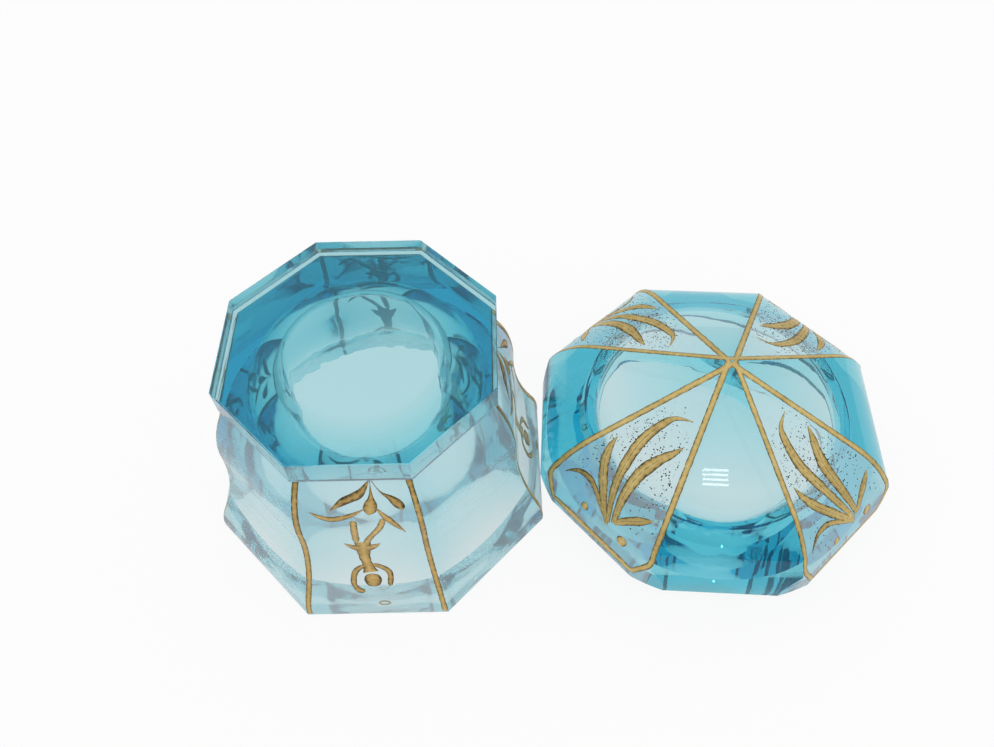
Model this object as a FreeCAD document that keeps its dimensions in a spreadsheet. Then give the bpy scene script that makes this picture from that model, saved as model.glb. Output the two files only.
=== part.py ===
import FreeCAD
import Part
import Sketcher
import math
import os

# An eight-sided glass bonbonniere: a thick box that stands turned over on its mouth, and its faceted lid
# standing beside it on its flange. The Z axis is the axis of the box, and z = 0 is the table under both.

# Driving sizes in millimetres, and degrees for the four angles: name, value, meaning.
SIZES = [
    ("mouth_across_flats", 100.0, "box mouth, flat to flat"),
    ("waist_inset", 8.5, "waist of the box wall, in from the mouth"),
    ("plinth_inset", 4.8, "wall of the plinth, in from the waist"),
    ("box_height", 66.5, "mouth rim to polished foot"),
    ("belly_rise", 21.8, "waist to the ledge of the plinth"),
    ("plinth_height", 8.2, "upright wall of the plinth"),
    ("plinth_overhang", 1.5, "ledge of the plinth past the belly under it"),
    ("lip_radius", 20.0, "roll of the box wall at the mouth"),
    ("rim_width", 4.2, "mouth rim, from a flat to the bore"),
    ("bore_depth", 3.0, "straight bore at the mouth"),
    ("seat_spare", 0.6, "tapered seat deeper than the lid's flange"),
    ("waist_wall", 8.3, "glass at the waist, from a flat to the cavity"),
    ("floor_wall", 17.3, "glass beside the cavity's flat floor, from a plinth flat"),
    ("floor_thickness", 7.5, "glass between the cavity and the foot"),
    ("floor_corner_radius", 5.0, "round between the cavity's floor and its bowl"),
    ("lid_overhang", 2.1, "a flat of the lid past the same flat of the mouth"),
    ("lid_wall_height", 1.0, "upright wall of the lid above its rim"),
    ("shoulder_radius", 25.2, "round from the lid's wall to its facets"),
    ("facet_slope", 25.0, "slope of a lid facet, in degrees"),
    ("corner_reach", 2.5, "rounded corner of the lid past its flats"),
    ("flange_depth", 10.0, "flange of the lid below its rim"),
    ("flange_clearance", 1.8, "between flange and straight bore, all round"),
    ("seat_clearance", 0.6, "between flange and the deep end of the tapered seat, all round"),
    ("flange_wall", 4.3, "wall of the flange"),
    ("hollow_draft", 5.0, "inward lean of the wall of the lid's hollow, in degrees"),
    ("ceiling_slope", 10.8, "slope of the ceiling of the lid's hollow, in degrees"),
    ("cove_radius", 10.0, "round between the wall and the ceiling of the lid's hollow"),
    ("crown_thickness", 13.8, "glass between the lid's hollow and its apex"),
    ("lid_gap", 0.5, "between the facing flats of box and lid"),
    ("lid_set_back", 2.4, "lid axis behind the box axis"),
    ("lid_turn", -4.1, "turn of the lid about its axis, in degrees"),
    ("gilding_thickness", 0.2, "raised gold on the glass"),
    ("gilt_line_width", 1.4, "gold line along the edge of a gilded panel"),
    ("plinth_line_width", 0.6, "gold line across a gilded panel at the plinth"),
    ("mouth_margin", 0.8, "bare glass between the mouth rim and the gold"),
    ("lid_margin", 3.9, "bare glass between the lid's rim and the gold"),
]

# Shapes of the gold strokes. A leaf is base, middle and tip of its centre line, and its width.
# A dot is its centre and radius. On the lid, a point is the way out from the axis and the way across
# the panel, as shares of half the lid's width.
LID_LEAVES = [
    ((0.94, 0.085), (0.60, -0.068), (0.34, 0.064), 0.049),
    ((0.94, 0.104), (0.72, 0.068), (0.50, 0.117), 0.057),
    ((0.94, 0.066), (0.83, -0.094), (0.67, -0.185), 0.045),
    ((0.95, 0.057), (0.90, -0.132), (0.92, -0.283), 0.030),
    ((0.94, 0.123), (0.89, 0.162), (0.85, 0.238), 0.042),
]
LID_DOTS = [((0.965, -0.090), 0.019), ((0.965, 0.200), 0.025)]

# On the box, a point is the way across the panel and the height above the mouth rim, as shares of the
# height from the mouth rim to the plinth.
BOX_LEAVES = [
    ((0.075, 0.985), (-0.012, 0.930), (-0.105, 0.835), 0.050),
    ((0.085, 0.985), (0.155, 0.925), (0.197, 0.837), 0.050),
    ((0.078, 0.985), (0.072, 0.925), (0.066, 0.860), 0.030),
    ((0.060, 0.855), (-0.070, 0.765), (-0.194, 0.820), 0.032),
    ((0.072, 0.855), (0.139, 0.774), (0.199, 0.672), 0.032),
]

# A small dancing figure under the leaves: legs, body, skirt and raised arms as strokes, and the head as a dot.
BOX_FIGURE = [
    ((-0.010, 0.740), (-0.040, 0.640), (0.000, 0.560), 0.040),
    ((0.092, 0.730), (0.075, 0.640), (0.020, 0.560), 0.040),
    ((-0.085, 0.580), (0.010, 0.530), (0.095, 0.590), 0.075),
    ((0.005, 0.560), (-0.002, 0.450), (0.012, 0.330), 0.105),
    ((-0.015, 0.345), (-0.100, 0.275), (-0.055, 0.180), 0.034),
    ((0.030, 0.345), (0.110, 0.285), (0.080, 0.205), 0.034),
]
BOX_DOTS = [((0.012, 0.245), 0.050), ((0.048, 0.101), 0.017)]

PANEL_COUNT = 8
PANEL_TURN = 360 / PANEL_COUNT
ALL_TURNS = [PANEL_TURN * number for number in range(PANEL_COUNT)]
STRAIGHT_TURNS = ALL_TURNS[0::2]
DIAGONAL_TURNS = ALL_TURNS[1::2]

UP = FreeCAD.Vector(0, 0, 1)
OUTWARD = FreeCAD.Vector(1, 0, 0)
UPRIGHT = FreeCAD.Placement(FreeCAD.Vector(0, 0, 0), FreeCAD.Rotation(OUTWARD, 90))

# How a sketch counts the ends of a line, and its own two axes.
START, END, CENTRE = range(1, 4)
LEVEL_AXIS, UPRIGHT_AXIS = range(-1, -3, -1)
ORIGIN = (LEVEL_AXIS, START)

document = FreeCAD.newDocument("Bonbonniere")
sheet = document.addObject("Spreadsheet::Sheet", "Sizes")
for row, (alias, value, meaning) in enumerate(SIZES, start=1):
    sheet.set(f"A{row}", meaning)
    sheet.set(f"B{row}", str(value))
    sheet.setAlias(f"B{row}", alias)
document.recompute()

# Sizes that follow from the driving ones.
MOUTH_HALF = "(Sizes.mouth_across_flats / 2)"
WAIST_HALF = f"({MOUTH_HALF} - Sizes.waist_inset)"
FOOT_HALF = f"({WAIST_HALF} - Sizes.plinth_inset)"
BELLY_END_HALF = f"({FOOT_HALF} - Sizes.plinth_overhang)"
PLINTH_LEVEL = "(Sizes.box_height - Sizes.plinth_height)"
WAIST_LEVEL = f"({PLINTH_LEVEL} - Sizes.belly_rise)"
FLOOR_LEVEL = "(Sizes.box_height - Sizes.floor_thickness)"
BORE_RADIUS = f"({MOUTH_HALF} - Sizes.rim_width)"
WAIST_BORE = f"({WAIST_HALF} - Sizes.waist_wall)"
FLOOR_RADIUS = f"({FOOT_HALF} - Sizes.floor_wall)"
LID_HALF = f"({MOUTH_HALF} + Sizes.lid_overhang)"
LID_CORNER_RADIUS = f"({LID_HALF} + Sizes.corner_reach)"
LID_WALL_TOP = "(Sizes.flange_depth + Sizes.lid_wall_height)"
FLANGE_RADIUS = f"({BORE_RADIUS} - Sizes.flange_clearance)"
SEAT_RADIUS = f"({FLANGE_RADIUS} + Sizes.seat_clearance)"
SEAT_DEPTH = "(Sizes.flange_depth + Sizes.seat_spare)"
HOLLOW_RADIUS = f"({FLANGE_RADIUS} - Sizes.flange_wall)"
HOLLOW_OPEN_RADIUS = f"({HOLLOW_RADIUS} + Sizes.flange_depth * tan(Sizes.hollow_draft * 1 deg))"
LID_APEX = (
    f"({LID_WALL_TOP} + ({LID_HALF} - Sizes.shoulder_radius) * tan(Sizes.facet_slope * 1 deg)"
    " + Sizes.shoulder_radius / cos(Sizes.facet_slope * 1 deg))"
)
HOLLOW_TOP = f"({LID_APEX} - Sizes.crown_thickness)"
LINE_INSET = "Sizes.gilt_line_width * sin(45 deg)"
CORNER_SPAN = f"sqrt({LID_CORNER_RADIUS} ^ 2 - {LID_HALF} ^ 2)"
LINE_CORNER_RADIUS = f"sqrt({LID_HALF} ^ 2 + ({CORNER_SPAN} - Sizes.gilt_line_width) ^ 2)"
REACH = "(Sizes.mouth_across_flats + 2 * Sizes.lid_overhang)"


def amount(expression):
    """The value of an expression on the sheet, as a plain number."""
    return float(sheet.evalExpression(expression))


def point(across, up):
    """A point of a sketch."""
    return FreeCAD.Vector(across, up, 0)


def drive(sketch, kind, *where, by):
    """Adds a dimension to a sketch and binds it to an expression on the sheet."""
    row = sketch.addConstraint(Sketcher.Constraint(kind, *where, amount(by)))
    sketch.setExpression(f"Constraints[{row}]", by)


def upright_sketch(name):
    """A sketch whose x is the way out from the axis and whose y is the height."""
    sketch = document.addObject("Sketcher::SketchObject", name)
    sketch.Placement = UPRIGHT
    return sketch


def join(sketch, *corners):
    """Joins pairs of ends: each corner is (line, end, line, end)."""
    for corner in corners:
        sketch.addConstraint(Sketcher.Constraint("Coincident", *corner))


def arc(centre, radius, start_angle, end_angle):
    """An arc that runs anticlockwise between two angles in radians."""
    return Part.ArcOfCircle(Part.Circle(point(*centre), UP, radius), start_angle, end_angle)


def box_wall_profile():
    """One wall of the box: rolled lip, hollow flare, swelling belly, ledge and plinth, closed far behind."""
    mouth, waist, foot = amount(MOUTH_HALF), amount(WAIST_HALF), amount(FOOT_HALF)
    belly_end = amount(BELLY_END_HALF)
    level, plinth, top = amount(WAIST_LEVEL), amount(PLINTH_LEVEL), amount("Sizes.box_height")
    lip, back = amount("Sizes.lip_radius"), -amount(REACH)
    sweep = 2 * math.atan2(mouth - waist, level)
    flare = level / math.sin(sweep) - lip
    rise = plinth - level
    belly = ((waist - belly_end) ** 2 + rise**2) / (2 * (waist - belly_end))
    sketch = upright_sketch("box_wall_profile")
    rim_line = sketch.addGeometry(Part.LineSegment(point(back, 0), point(mouth, 0)))
    lip_arc = sketch.addGeometry(arc((mouth - lip, 0), lip, 0, sweep))
    flare_arc = sketch.addGeometry(arc((waist + flare, level), flare, math.pi, math.pi + sweep))
    belly_arc = sketch.addGeometry(arc((waist - belly, level), belly, 0, math.asin(rise / belly)))
    ledge_line = sketch.addGeometry(Part.LineSegment(point(belly_end, plinth), point(foot, plinth)))
    plinth_line = sketch.addGeometry(Part.LineSegment(point(foot, plinth), point(foot, top)))
    foot_line = sketch.addGeometry(Part.LineSegment(point(foot, top), point(back, top)))
    back_line = sketch.addGeometry(Part.LineSegment(point(back, top), point(back, 0)))
    join(sketch, (rim_line, END, lip_arc, START), (flare_arc, START, belly_arc, START))
    join(sketch, (belly_arc, END, ledge_line, START), (ledge_line, END, plinth_line, START))
    join(sketch, (plinth_line, END, foot_line, START))
    join(sketch, (foot_line, END, back_line, START), (back_line, END, rim_line, START))
    sketch.addConstraint(Sketcher.Constraint("Tangent", lip_arc, END, flare_arc, END))
    sketch.addConstraint(Sketcher.Constraint("PointOnObject", rim_line, START, LEVEL_AXIS))
    sketch.addConstraint(Sketcher.Constraint("Horizontal", rim_line))
    sketch.addConstraint(Sketcher.Constraint("PointOnObject", lip_arc, CENTRE, LEVEL_AXIS))
    sketch.addConstraint(Sketcher.Constraint("Horizontal", ledge_line))
    sketch.addConstraint(Sketcher.Constraint("Vertical", plinth_line))
    sketch.addConstraint(Sketcher.Constraint("Horizontal", foot_line))
    sketch.addConstraint(Sketcher.Constraint("Vertical", back_line))
    drive(sketch, "DistanceX", rim_line, START, *ORIGIN, by=REACH)
    drive(sketch, "DistanceX", *ORIGIN, rim_line, END, by=MOUTH_HALF)
    drive(sketch, "Radius", lip_arc, by="Sizes.lip_radius")
    drive(sketch, "DistanceY", *ORIGIN, flare_arc, CENTRE, by=WAIST_LEVEL)
    drive(sketch, "DistanceY", *ORIGIN, flare_arc, START, by=WAIST_LEVEL)
    drive(sketch, "DistanceX", *ORIGIN, flare_arc, START, by=WAIST_HALF)
    drive(sketch, "DistanceY", *ORIGIN, belly_arc, CENTRE, by=WAIST_LEVEL)
    drive(sketch, "DistanceX", *ORIGIN, ledge_line, START, by=BELLY_END_HALF)
    drive(sketch, "DistanceX", *ORIGIN, plinth_line, START, by=FOOT_HALF)
    drive(sketch, "DistanceY", *ORIGIN, plinth_line, START, by=PLINTH_LEVEL)
    drive(sketch, "DistanceY", *ORIGIN, plinth_line, END, by="Sizes.box_height")
    return sketch


def box_cavity_profile():
    """Half of the round cavity: straight bore, tapered seat, flare, bowl and flat floor with a round corner."""
    bore, seat, waist = amount(BORE_RADIUS), amount(SEAT_RADIUS), amount(WAIST_BORE)
    floor, corner = amount(FLOOR_RADIUS), amount("Sizes.floor_corner_radius")
    depth, seat_depth = amount("Sizes.bore_depth"), amount(SEAT_DEPTH)
    level, top = amount(WAIST_LEVEL), amount(FLOOR_LEVEL)
    below = -depth
    flare = ((seat - waist) ** 2 + (level - seat_depth) ** 2) / (2 * (seat - waist))
    flare_centre = point(waist + flare, level)
    flare_start = math.pi + math.asin((level - seat_depth) / flare)
    corner_centre = point(floor, top - corner)
    run, rise = waist - floor, top - corner - level
    bowl = (run**2 + rise**2 - corner**2) / (2 * (run - corner))
    bowl_centre = point(waist - bowl, level)
    touch = math.atan2(rise, corner_centre.x - bowl_centre.x)
    sketch = upright_sketch("box_cavity_profile")
    axis_line = sketch.addGeometry(Part.LineSegment(point(0, top), point(0, below)))
    open_line = sketch.addGeometry(Part.LineSegment(point(0, below), point(bore, below)))
    bore_line = sketch.addGeometry(Part.LineSegment(point(bore, below), point(bore, depth)))
    seat_line = sketch.addGeometry(Part.LineSegment(point(bore, depth), point(seat, seat_depth)))
    flare_arc = sketch.addGeometry(arc((flare_centre.x, flare_centre.y), flare, math.pi, flare_start))
    bowl_arc = sketch.addGeometry(arc((bowl_centre.x, bowl_centre.y), bowl, 0, touch))
    corner_arc = sketch.addGeometry(arc((corner_centre.x, corner_centre.y), corner, touch, math.pi / 2))
    floor_line = sketch.addGeometry(Part.LineSegment(point(floor, top), point(0, top)))
    join(sketch, (axis_line, END, open_line, START), (open_line, END, bore_line, START))
    join(sketch, (bore_line, END, seat_line, START), (seat_line, END, flare_arc, END))
    join(sketch, (floor_line, END, axis_line, START))
    sketch.addConstraint(Sketcher.Constraint("Tangent", flare_arc, START, bowl_arc, START))
    sketch.addConstraint(Sketcher.Constraint("Tangent", bowl_arc, END, corner_arc, START))
    sketch.addConstraint(Sketcher.Constraint("Tangent", corner_arc, END, floor_line, START))
    sketch.addConstraint(Sketcher.Constraint("PointOnObject", axis_line, START, UPRIGHT_AXIS))
    sketch.addConstraint(Sketcher.Constraint("Vertical", axis_line))
    sketch.addConstraint(Sketcher.Constraint("Horizontal", open_line))
    sketch.addConstraint(Sketcher.Constraint("Vertical", bore_line))
    sketch.addConstraint(Sketcher.Constraint("Horizontal", floor_line))
    drive(sketch, "DistanceY", axis_line, END, *ORIGIN, by="Sizes.bore_depth")
    drive(sketch, "DistanceX", *ORIGIN, bore_line, END, by=BORE_RADIUS)
    drive(sketch, "DistanceY", *ORIGIN, bore_line, END, by="Sizes.bore_depth")
    drive(sketch, "DistanceX", *ORIGIN, seat_line, END, by=SEAT_RADIUS)
    drive(sketch, "DistanceY", *ORIGIN, seat_line, END, by=SEAT_DEPTH)
    drive(sketch, "DistanceX", *ORIGIN, flare_arc, START, by=WAIST_BORE)
    drive(sketch, "DistanceY", *ORIGIN, flare_arc, START, by=WAIST_LEVEL)
    drive(sketch, "DistanceY", *ORIGIN, flare_arc, CENTRE, by=WAIST_LEVEL)
    drive(sketch, "Radius", corner_arc, by="Sizes.floor_corner_radius")
    drive(sketch, "DistanceX", *ORIGIN, floor_line, START, by=FLOOR_RADIUS)
    drive(sketch, "DistanceY", *ORIGIN, floor_line, START, by=FLOOR_LEVEL)
    return sketch


def lid_wall_profile():
    """One side of the lid: short upright wall, round shoulder and flat facet, which runs on far past the apex."""
    half, rim, wall_top = amount(LID_HALF), amount("Sizes.flange_depth"), amount(LID_WALL_TOP)
    shoulder, back = amount("Sizes.shoulder_radius"), -amount(REACH)
    slope = math.radians(amount("Sizes.facet_slope"))
    centre = (half - shoulder, wall_top)
    meet = point(centre[0] + shoulder * math.sin(slope), centre[1] + shoulder * math.cos(slope))
    crest = point(back, meet.y + (meet.x - back) * math.tan(slope))
    sketch = upright_sketch("lid_wall_profile")
    rim_line = sketch.addGeometry(Part.LineSegment(point(back, rim), point(half, rim)))
    wall_line = sketch.addGeometry(Part.LineSegment(point(half, rim), point(half, wall_top)))
    shoulder_arc = sketch.addGeometry(arc(centre, shoulder, 0, math.pi / 2 - slope))
    facet_line = sketch.addGeometry(Part.LineSegment(meet, crest))
    back_line = sketch.addGeometry(Part.LineSegment(crest, point(back, rim)))
    join(sketch, (rim_line, END, wall_line, START))
    join(sketch, (facet_line, END, back_line, START), (back_line, END, rim_line, START))
    sketch.addConstraint(Sketcher.Constraint("Tangent", wall_line, END, shoulder_arc, START))
    sketch.addConstraint(Sketcher.Constraint("Tangent", shoulder_arc, END, facet_line, START))
    sketch.addConstraint(Sketcher.Constraint("Horizontal", rim_line))
    sketch.addConstraint(Sketcher.Constraint("Vertical", wall_line))
    sketch.addConstraint(Sketcher.Constraint("Vertical", back_line))
    drive(sketch, "DistanceX", rim_line, START, *ORIGIN, by=REACH)
    drive(sketch, "DistanceY", *ORIGIN, rim_line, START, by="Sizes.flange_depth")
    drive(sketch, "DistanceX", *ORIGIN, rim_line, END, by=LID_HALF)
    drive(sketch, "DistanceY", *ORIGIN, wall_line, END, by=LID_WALL_TOP)
    drive(sketch, "Radius", shoulder_arc, by="Sizes.shoulder_radius")
    rise = sketch.addConstraint(Sketcher.Constraint("Angle", facet_line, math.pi - slope))
    sketch.setExpression(f"Constraints[{rise}]", "(180 - Sizes.facet_slope) * 1 deg")
    return sketch


def lid_hollow_profile():
    """Half of the lid's round hollow: leaning wall inside the flange, cove, and low conical ceiling."""
    radius, cove, top = amount(HOLLOW_RADIUS), amount("Sizes.cove_radius"), amount(HOLLOW_TOP)
    slope = math.radians(amount("Sizes.ceiling_slope"))
    draft = math.radians(amount("Sizes.hollow_draft"))
    below = -amount("Sizes.flange_depth")
    open_radius = amount(HOLLOW_OPEN_RADIUS)
    reach = radius - cove / math.cos(draft)
    spring = top - cove / math.cos(slope) - reach * math.tan(slope)
    spring = spring / (1 - math.tan(draft) * math.tan(slope))
    centre = (reach - spring * math.tan(draft), spring)
    wall_end = point(centre[0] + cove * math.cos(draft), centre[1] + cove * math.sin(draft))
    meet = point(centre[0] + cove * math.sin(slope), centre[1] + cove * math.cos(slope))
    sketch = upright_sketch("lid_hollow_profile")
    axis_line = sketch.addGeometry(Part.LineSegment(point(0, top), point(0, below)))
    open_line = sketch.addGeometry(Part.LineSegment(point(0, below), point(open_radius, below)))
    wall_line = sketch.addGeometry(Part.LineSegment(point(open_radius, below), wall_end))
    cove_arc = sketch.addGeometry(arc(centre, cove, draft, math.pi / 2 - slope))
    ceiling_line = sketch.addGeometry(Part.LineSegment(meet, point(0, top)))
    join(sketch, (axis_line, END, open_line, START), (open_line, END, wall_line, START))
    join(sketch, (ceiling_line, END, axis_line, START))
    sketch.addConstraint(Sketcher.Constraint("Tangent", wall_line, END, cove_arc, START))
    sketch.addConstraint(Sketcher.Constraint("Tangent", cove_arc, END, ceiling_line, START))
    sketch.addConstraint(Sketcher.Constraint("PointOnObject", axis_line, START, UPRIGHT_AXIS))
    sketch.addConstraint(Sketcher.Constraint("Vertical", axis_line))
    sketch.addConstraint(Sketcher.Constraint("Horizontal", open_line))
    drive(sketch, "DistanceY", axis_line, END, *ORIGIN, by="Sizes.flange_depth")
    drive(sketch, "DistanceY", *ORIGIN, axis_line, START, by=HOLLOW_TOP)
    drive(sketch, "DistanceX", *ORIGIN, wall_line, START, by=HOLLOW_OPEN_RADIUS)
    drive(sketch, "Radius", cove_arc, by="Sizes.cove_radius")
    lean = sketch.addConstraint(Sketcher.Constraint("Angle", wall_line, math.pi / 2 + draft))
    sketch.setExpression(f"Constraints[{lean}]", "(90 + Sizes.hollow_draft) * 1 deg")
    fall = sketch.addConstraint(Sketcher.Constraint("Angle", ceiling_line, math.pi - slope))
    sketch.setExpression(f"Constraints[{fall}]", "(180 - Sizes.ceiling_slope) * 1 deg")
    return sketch


def facets(name, profile, turns, shift="0"):
    """Slabs that each end in one panel of an eight-sided piece, moved outwards from the axis by shift."""
    slabs = []
    for turn in turns:
        slab = document.addObject("Part::Extrusion", f"{name}_{turn:.0f}")
        slab.Base = profile
        slab.DirMode = "Custom"
        slab.Dir = FreeCAD.Vector(0, 1, 0)
        slab.Symmetric = True
        slab.Solid = True
        slab.setExpression("LengthFwd", f"2 * {REACH}")
        slab.Placement = FreeCAD.Placement(FreeCAD.Vector(0, 0, 0), FreeCAD.Rotation(UP, turn))
        slab.setExpression("Placement.Base.x", f"({shift}) * cos({turn} deg)")
        slab.setExpression("Placement.Base.y", f"({shift}) * sin({turn} deg)")
        slabs.append(slab)
    return slabs


def turned(name, profile):
    """A solid turned from a profile about the upright axis."""
    solid = document.addObject("Part::Revolution", name)
    solid.Source = profile
    solid.Axis = UP
    solid.Base = FreeCAD.Vector(0, 0, 0)
    solid.Angle = 360
    solid.Solid = True
    return solid


def cylinder(name, radius, bottom, height):
    """An upright cylinder about the axis."""
    solid = document.addObject("Part::Cylinder", name)
    solid.setExpression("Radius", radius)
    solid.setExpression("Height", height)
    solid.setExpression("Placement.Base.z", bottom)
    return solid


def layer(name, bottom, top):
    """Everything between two heights, wider than the object."""
    solid = document.addObject("Part::Box", name)
    solid.setExpression("Length", f"2 * {REACH}")
    solid.setExpression("Width", f"2 * {REACH}")
    solid.setExpression("Height", f"{top} - {bottom}")
    solid.setExpression("Placement.Base.x", f"-{REACH}")
    solid.setExpression("Placement.Base.y", f"-{REACH}")
    solid.setExpression("Placement.Base.z", bottom)
    return solid


def common(name, shapes):
    """What several solids share."""
    solid = document.addObject("Part::MultiCommon", name)
    solid.Shapes = shapes
    return solid


def cut(name, base, tool):
    """A solid less another."""
    solid = document.addObject("Part::Cut", name)
    solid.Base = base
    solid.Tool = tool
    return solid


def fuse(name, base, tool):
    """Two solids as one."""
    solid = document.addObject("Part::Fuse", name)
    solid.Base = base
    solid.Tool = tool
    return solid


def leaf_face(base, middle, tip, width, normal):
    """A pointed leaf between base and tip whose centre line runs through middle."""
    across = normal.cross(tip - base)
    across.normalize()
    near = Part.Arc(base, middle + across * (width / 2), tip)
    far = Part.Arc(tip, middle - across * (width / 2), base)
    return Part.Face(Part.Wire([near.toShape(), far.toShape()]))


def dot_face(centre, radius, normal):
    """A round dot."""
    return Part.Face(Part.Wire(Part.Circle(centre, normal, radius).toShape()))


def stroke_prisms(name, leaves, dots, place, scale, normal, turns):
    """Prisms over the gold strokes of one panel, repeated at each turn; overlapping strokes are one prism."""
    faces = []
    for base, middle, tip, width in leaves:
        faces.append(leaf_face(place(*base), place(*middle), place(*tip), width * scale, normal))
    for centre, radius in dots:
        faces.append(dot_face(place(*centre), radius * scale, normal))
    depth = normal * amount(REACH)
    solids = [face.extrude(depth) for face in faces]
    drawn = solids[0].multiFuse(solids[1:]).removeSplitter()
    prisms = []
    for turn in turns:
        prism = drawn.copy()
        prism.rotate(FreeCAD.Vector(0, 0, 0), UP, turn)
        prisms.append(prism)
    strokes = document.addObject("Part::Feature", name)
    strokes.Shape = Part.makeCompound(prisms)
    return strokes


def place_lid(piece):
    """Sets a piece of the lid beside the box, turned a little about its own axis."""
    piece.Placement = FreeCAD.Placement(FreeCAD.Vector(0, 0, 0), FreeCAD.Rotation(UP, 1))
    piece.setExpression("Placement.Base.x", f"{MOUTH_HALF} + Sizes.lid_gap + {LID_HALF}")
    piece.setExpression("Placement.Base.y", "Sizes.lid_set_back")
    piece.setExpression("Placement.Rotation.Angle", "Sizes.lid_turn * 1 deg")


# Box: eight ground walls round a moulded cavity.
box_wall = box_wall_profile()
box_blank = common("box_blank", facets("box_panel", box_wall, ALL_TURNS))
box_cavity = turned("box_cavity", box_cavity_profile())
box_glass = cut("box_glass", box_blank, box_cavity)

# Gold on the four straight panels of the box: a skin over each panel, kept along its edges and over the strokes.
box_raised = facets("box_gilded", box_wall, STRAIGHT_TURNS, "Sizes.gilding_thickness")
box_clear = facets("box_clear", box_wall, DIAGONAL_TURNS)
box_skin = cut("box_skin", common("box_raised", box_raised + box_clear), box_blank)
box_gold_zone = layer("box_gold_zone", "Sizes.mouth_margin", PLINTH_LEVEL)
box_bare_zone = layer("box_bare_zone", "-Sizes.mouth_margin", f"({PLINTH_LEVEL} - Sizes.plinth_line_width)")
box_inner = facets("box_inner", box_wall, DIAGONAL_TURNS, f"-{LINE_INSET}")
box_frame_gilding = cut(
    "box_frame_gilding",
    common("box_gold_skin", [box_skin, box_gold_zone]),
    common("box_bare", box_inner + [box_bare_zone]),
)
box_strokes = stroke_prisms(
    "box_strokes",
    BOX_LEAVES + BOX_FIGURE,
    BOX_DOTS,
    lambda across, up: FreeCAD.Vector(0, across, up) * amount(PLINTH_LEVEL),
    amount(PLINTH_LEVEL),
    OUTWARD,
    STRAIGHT_TURNS,
)
box_motif_gilding = common("box_motif_gilding", [box_skin, box_strokes])

# Lid: eight facets ground on a round blank, hollow below, with a flange that drops into the box's bore.
lid_wall = lid_wall_profile()
lid_round = cylinder("lid_round", LID_CORNER_RADIUS, "Sizes.flange_depth", LID_APEX)
lid_blank = common("lid_blank", facets("lid_panel", lid_wall, ALL_TURNS) + [lid_round])
lid_flange = cylinder("lid_flange", FLANGE_RADIUS, "0", LID_WALL_TOP)
lid_hollow = turned("lid_hollow", lid_hollow_profile())
lid_glass = cut("lid_glass", fuse("lid_solid", lid_blank, lid_flange), lid_hollow)

# Gold on the four diagonal panels of the lid: a border round each panel and a spray of leaves.
lid_raised = facets("lid_gilded", lid_wall, DIAGONAL_TURNS, "Sizes.gilding_thickness")
lid_clear = facets("lid_clear", lid_wall, STRAIGHT_TURNS)
lid_skin = cut("lid_skin", common("lid_raised", lid_raised + lid_clear + [lid_round]), lid_blank)
lid_line_bottom = "(Sizes.flange_depth + Sizes.lid_margin)"
lid_gold_zone = layer("lid_gold_zone", lid_line_bottom, f"2 * {LID_APEX}")
lid_bare_zone = layer("lid_bare_zone", f"({lid_line_bottom} + Sizes.gilt_line_width)", f"2 * {LID_APEX}")
lid_inner = facets("lid_inner", lid_wall, STRAIGHT_TURNS, f"-{LINE_INSET}")
lid_inner_round = cylinder("lid_inner_round", LINE_CORNER_RADIUS, "Sizes.flange_depth", LID_APEX)
lid_frame_gilding = cut(
    "lid_frame_gilding",
    common("lid_gold_skin", [lid_skin, lid_gold_zone]),
    common("lid_bare", lid_inner + [lid_inner_round, lid_bare_zone]),
)
lid_strokes = stroke_prisms(
    "lid_strokes",
    LID_LEAVES,
    LID_DOTS,
    lambda out, across: FreeCAD.Vector(out, across, 0) * amount(LID_HALF),
    amount(LID_HALF),
    UP,
    DIAGONAL_TURNS,
)
lid_leaf_gilding = common("lid_leaf_gilding", [lid_skin, lid_strokes])
for piece in (lid_glass, lid_frame_gilding, lid_leaf_gilding):
    place_lid(piece)

document.recompute()
for item in document.Objects:
    if "Invalid" in item.State or "Error" in item.State:
        raise RuntimeError(f"{item.Label} failed: {item.State}")

SUB_PARTS = [
    box_glass,
    box_frame_gilding,
    box_motif_gilding,
    lid_glass,
    lid_frame_gilding,
    lid_leaf_gilding,
]
for piece in SUB_PARTS:
    shape = piece.Shape
    if shape.isNull() or not shape.isValid() or not shape.Solids:
        raise RuntimeError(f"{piece.Label} has no valid solid")
    print(f"{piece.Label}: {len(shape.Solids)} solids, {shape.Volume:.1f} cubic mm")

os.makedirs("parts", exist_ok=True)
for piece in SUB_PARTS:
    piece.Shape.exportStep(f"parts/{piece.Label}.step")
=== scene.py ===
"""Looks of a glass bonbonniere: an aqua box turned over on its mouth, and its gilded lid beside it."""
import logging
import math
import random
from collections.abc import Callable, Sequence
from dataclasses import dataclass, replace
from enum import Enum

import bmesh
import bpy
from mathutils import Matrix, Vector, noise


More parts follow.
